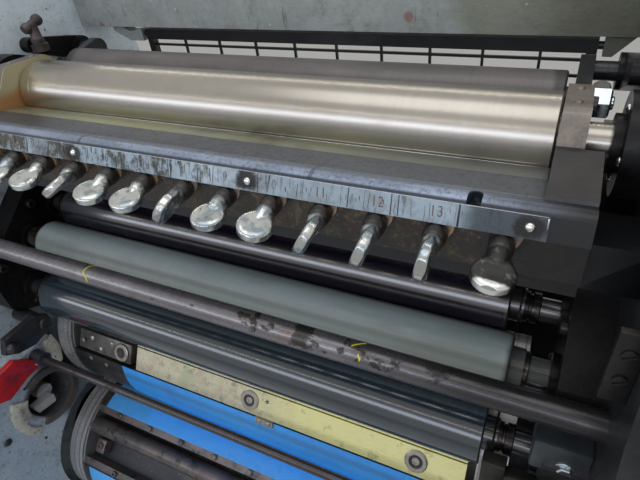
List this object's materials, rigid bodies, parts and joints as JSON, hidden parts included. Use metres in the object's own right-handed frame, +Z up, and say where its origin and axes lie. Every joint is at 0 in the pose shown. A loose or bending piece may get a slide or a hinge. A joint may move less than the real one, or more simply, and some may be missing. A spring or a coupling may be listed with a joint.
{
  "type": "offset press printing unit",
  "caption": "Printing unit of a sheet-fed offset press with ink fountain, ink keys, roller train and three cylinders between cast side frames.",
  "frame": {"origin": "on the floor, midway between the two side frames and midway along their feet", "axes": "+X along the rollers, to the right as seen from the ink keys; +Y away from the ink keys; +Z up"},
  "size_m": [0.962, 0.8, 1.318],
  "materials": {
    "frame_paint": "light blue-grey machine paint, dirty",
    "dark_paint": "black painted, oily",
    "beam_paint": "grey-green hammered paint, worn",
    "dark_casting": "dark oily cast iron",
    "rusty_rail": "rusty brown cast iron",
    "blade_steel": "greenish dirty spring steel",
    "scale_steel": "dull engraved steel strip",
    "worn_steel": "worn machined steel",
    "cheek_steel": "brownish machined steel",
    "fountain_steel": "fine turned polished steel",
    "black_gloss": "glossy black roller covering",
    "green_rubber": "matt grey-green rubber",
    "black_rubber": "smooth black rubber",
    "cylinder_steel": "machined steel cylinder",
    "clamp_zinc": "yellow-passivated zinc plated steel",
    "plate_blue": "blue coated aluminium plate",
    "blanket_blue": "light blue blanket rubber",
    "key_zinc": "bright zinc plated, worn and pitted"
  },
  "bodies": {
    "press_frame": {"left_side_frame": "frame_paint", "right_side_frame": "frame_paint", "cross_sills": "dark_paint", "front_tie_bars": "worn_steel", "rear_beam": "beam_paint", "fountain_casting": "dark_casting", "fountain_blade": "blade_steel", "scale_strip": "scale_steel", "key_rail": "rusty_rail", "fountain_cheeks": "cheek_steel", "roller_sockets": "dark_casting", "cylinder_bearings": "dark_casting", "drive_cover": "frame_paint"},
    "fountain_roller": {"fountain_roller": "fountain_steel"},
    "ductor_swing": {"ductor_swing": "dark_casting"},
    "ductor_roller": {"ductor_roller": "black_rubber"},
    "upper_oscillator": {"upper_oscillator": "black_gloss"},
    "ink_drum": {"ink_drum": "black_gloss"},
    "oscillator": {"oscillator": "black_gloss"},
    "distributor_roller": {"distributor_roller": "green_rubber"},
    "transfer_roller": {"transfer_roller": "black_rubber"},
    "form_roller": {"form_roller": "black_rubber"},
    "plate_cylinder": {"plate_cylinder": "cylinder_steel", "plate_clamps": "clamp_zinc", "printing_plate": "plate_blue"},
    "blanket_cylinder": {"blanket_cylinder": "cylinder_steel", "blanket_bar": "scale_steel", "blanket": "blanket_blue"},
    "impression_cylinder": {"impression_cylinder": "cylinder_steel"},
    "mesh_guard": {"mesh_guard": "dark_paint"},
    "throw_off_lever": {"throw_off_lever": "worn_steel"},
    "ink_key_1": {"ink_key_1": "key_zinc"},
    "ink_key_2": {"ink_key_2": "key_zinc"},
    "ink_key_3": {"ink_key_3": "key_zinc"},
    "ink_key_4": {"ink_key_4": "key_zinc"},
    "ink_key_5": {"ink_key_5": "key_zinc"},
    "ink_key_6": {"ink_key_6": "key_zinc"},
    "ink_key_7": {"ink_key_7": "key_zinc"},
    "ink_key_8": {"ink_key_8": "key_zinc"},
    "ink_key_9": {"ink_key_9": "key_zinc"},
    "ink_key_10": {"ink_key_10": "key_zinc"},
    "ink_key_11": {"ink_key_11": "key_zinc"},
    "ink_key_12": {"ink_key_12": "key_zinc"},
    "ink_key_13": {"ink_key_13": "key_zinc"},
    "ink_key_14": {"ink_key_14": "key_zinc"}
  },
  "joints": [
    {"name": "impression_spin", "type": "hinge", "parent": "press_frame", "child": "impression_cylinder", "pos_m": [0, 0.05037, 0.35758], "axis": [1, 0, 0], "continuous": true},
    {"name": "blanket_spin", "type": "hinge", "parent": "press_frame", "child": "blanket_cylinder", "pos_m": [0, -0.04916, 0.57101], "axis": [1, 0, 0], "continuous": true},
    {"name": "plate_spin", "type": "hinge", "parent": "press_frame", "child": "plate_cylinder", "pos_m": [0, 0.0402, 0.7889], "axis": [1, 0, 0], "continuous": true},
    {"name": "form_spin", "type": "hinge", "parent": "press_frame", "child": "form_roller", "pos_m": [0, -0.05085, 0.90798], "axis": [1, 0, 0], "continuous": true},
    {"name": "transfer_spin", "type": "hinge", "parent": "press_frame", "child": "transfer_roller", "pos_m": [0, -0.00088, 0.92924], "axis": [1, 0, 0], "continuous": true},
    {"name": "distributor_spin", "type": "hinge", "parent": "press_frame", "child": "distributor_roller", "pos_m": [0, -0.01716, 0.97684], "axis": [1, 0, 0], "continuous": true},
    {"name": "oscillator_spin", "type": "hinge", "parent": "press_frame", "child": "oscillator", "pos_m": [0, 0.0396, 1], "axis": [1, 0, 0], "continuous": true},
    {"name": "drum_spin", "type": "hinge", "parent": "press_frame", "child": "ink_drum", "pos_m": [0, 0.10907, 1.03824], "axis": [1, 0, 0], "continuous": true},
    {"name": "upper_oscillator_spin", "type": "hinge", "parent": "press_frame", "child": "upper_oscillator", "pos_m": [0, 0.16382, 1.10234], "axis": [1, 0, 0], "continuous": true},
    {"name": "fountain_spin", "type": "hinge", "parent": "press_frame", "child": "fountain_roller", "pos_m": [0, 0.0737, 1.1634], "axis": [1, 0, 0], "continuous": true},
    {"name": "ductor_rock", "type": "hinge", "parent": "press_frame", "child": "ductor_swing", "pos_m": [0, 0.1863, 1.18193], "axis": [1, 0, 0], "range_deg": [0, 9.5]},
    {"name": "ductor_spin", "type": "hinge", "parent": "ductor_swing", "child": "ductor_roller", "pos_m": [0, 0.13759, 1.17068], "axis": [1, 0, 0], "continuous": true},
    {"name": "guard_hinge", "type": "hinge", "parent": "press_frame", "child": "mesh_guard", "pos_m": [0, 0.24, 1.189], "axis": [1, 0, 0], "range_deg": [0, 80]},
    {"name": "throw_off", "type": "hinge", "parent": "press_frame", "child": "throw_off_lever", "pos_m": [0, -0.124, 0.741], "axis": [1, 0, 0], "range_deg": [-15, 15]},
    {"name": "key_1_turn", "type": "hinge", "parent": "press_frame", "child": "ink_key_1", "pos_m": [-0.2925, -0.06, 1.15], "axis": [0, -0.9925, -0.1219], "range_deg": [-180, 180]},
    {"name": "key_2_turn", "type": "hinge", "parent": "press_frame", "child": "ink_key_2", "pos_m": [-0.2475, -0.06, 1.15], "axis": [0, -0.9925, -0.1219], "range_deg": [-180, 180]},
    {"name": "key_3_turn", "type": "hinge", "parent": "press_frame", "child": "ink_key_3", "pos_m": [-0.2025, -0.06, 1.15], "axis": [0, -0.9925, -0.1219], "range_deg": [-180, 180]},
    {"name": "key_4_turn", "type": "hinge", "parent": "press_frame", "child": "ink_key_4", "pos_m": [-0.1575, -0.06, 1.15], "axis": [0, -0.9925, -0.1219], "range_deg": [-180, 180]},
    {"name": "key_5_turn", "type": "hinge", "parent": "press_frame", "child": "ink_key_5", "pos_m": [-0.1125, -0.06, 1.15], "axis": [0, -0.9925, -0.1219], "range_deg": [-180, 180]},
    {"name": "key_6_turn", "type": "hinge", "parent": "press_frame", "child": "ink_key_6", "pos_m": [-0.0675, -0.06, 1.15], "axis": [0, -0.9925, -0.1219], "range_deg": [-180, 180]},
    {"name": "key_7_turn", "type": "hinge", "parent": "press_frame", "child": "ink_key_7", "pos_m": [-0.0225, -0.06, 1.15], "axis": [0, -0.9925, -0.1219], "range_deg": [-180, 180]},
    {"name": "key_8_turn", "type": "hinge", "parent": "press_frame", "child": "ink_key_8", "pos_m": [0.0225, -0.06, 1.15], "axis": [0, -0.9925, -0.1219], "range_deg": [-180, 180]},
    {"name": "key_9_turn", "type": "hinge", "parent": "press_frame", "child": "ink_key_9", "pos_m": [0.0675, -0.06, 1.15], "axis": [0, -0.9925, -0.1219], "range_deg": [-180, 180]},
    {"name": "key_10_turn", "type": "hinge", "parent": "press_frame", "child": "ink_key_10", "pos_m": [0.1125, -0.06, 1.15], "axis": [0, -0.9925, -0.1219], "range_deg": [-180, 180]},
    {"name": "key_11_turn", "type": "hinge", "parent": "press_frame", "child": "ink_key_11", "pos_m": [0.1575, -0.06, 1.15], "axis": [0, -0.9925, -0.1219], "range_deg": [-180, 180]},
    {"name": "key_12_turn", "type": "hinge", "parent": "press_frame", "child": "ink_key_12", "pos_m": [0.2025, -0.06, 1.15], "axis": [0, -0.9925, -0.1219], "range_deg": [-180, 180]},
    {"name": "key_13_turn", "type": "hinge", "parent": "press_frame", "child": "ink_key_13", "pos_m": [0.2475, -0.06, 1.15], "axis": [0, -0.9925, -0.1219], "range_deg": [-180, 180]},
    {"name": "key_14_turn", "type": "hinge", "parent": "press_frame", "child": "ink_key_14", "pos_m": [0.2925, -0.06, 1.15], "axis": [0, -0.9925, -0.1219], "range_deg": [-180, 180]}
  ],
  "couplings": [
    {"joint": "blanket_spin", "follows": "impression_spin", "ratio": -1},
    {"joint": "plate_spin", "follows": "impression_spin", "ratio": 1},
    {"joint": "form_spin", "follows": "impression_spin", "ratio": -3.675},
    {"joint": "transfer_spin", "follows": "impression_spin", "ratio": 5.3455},
    {"joint": "distributor_spin", "follows": "impression_spin", "ratio": -4.2},
    {"joint": "oscillator_spin", "follows": "impression_spin", "ratio": 3.5636},
    {"joint": "drum_spin", "follows": "impression_spin", "ratio": -2.5565},
    {"joint": "upper_oscillator_spin", "follows": "impression_spin", "ratio": 3.0947}
  ]
}
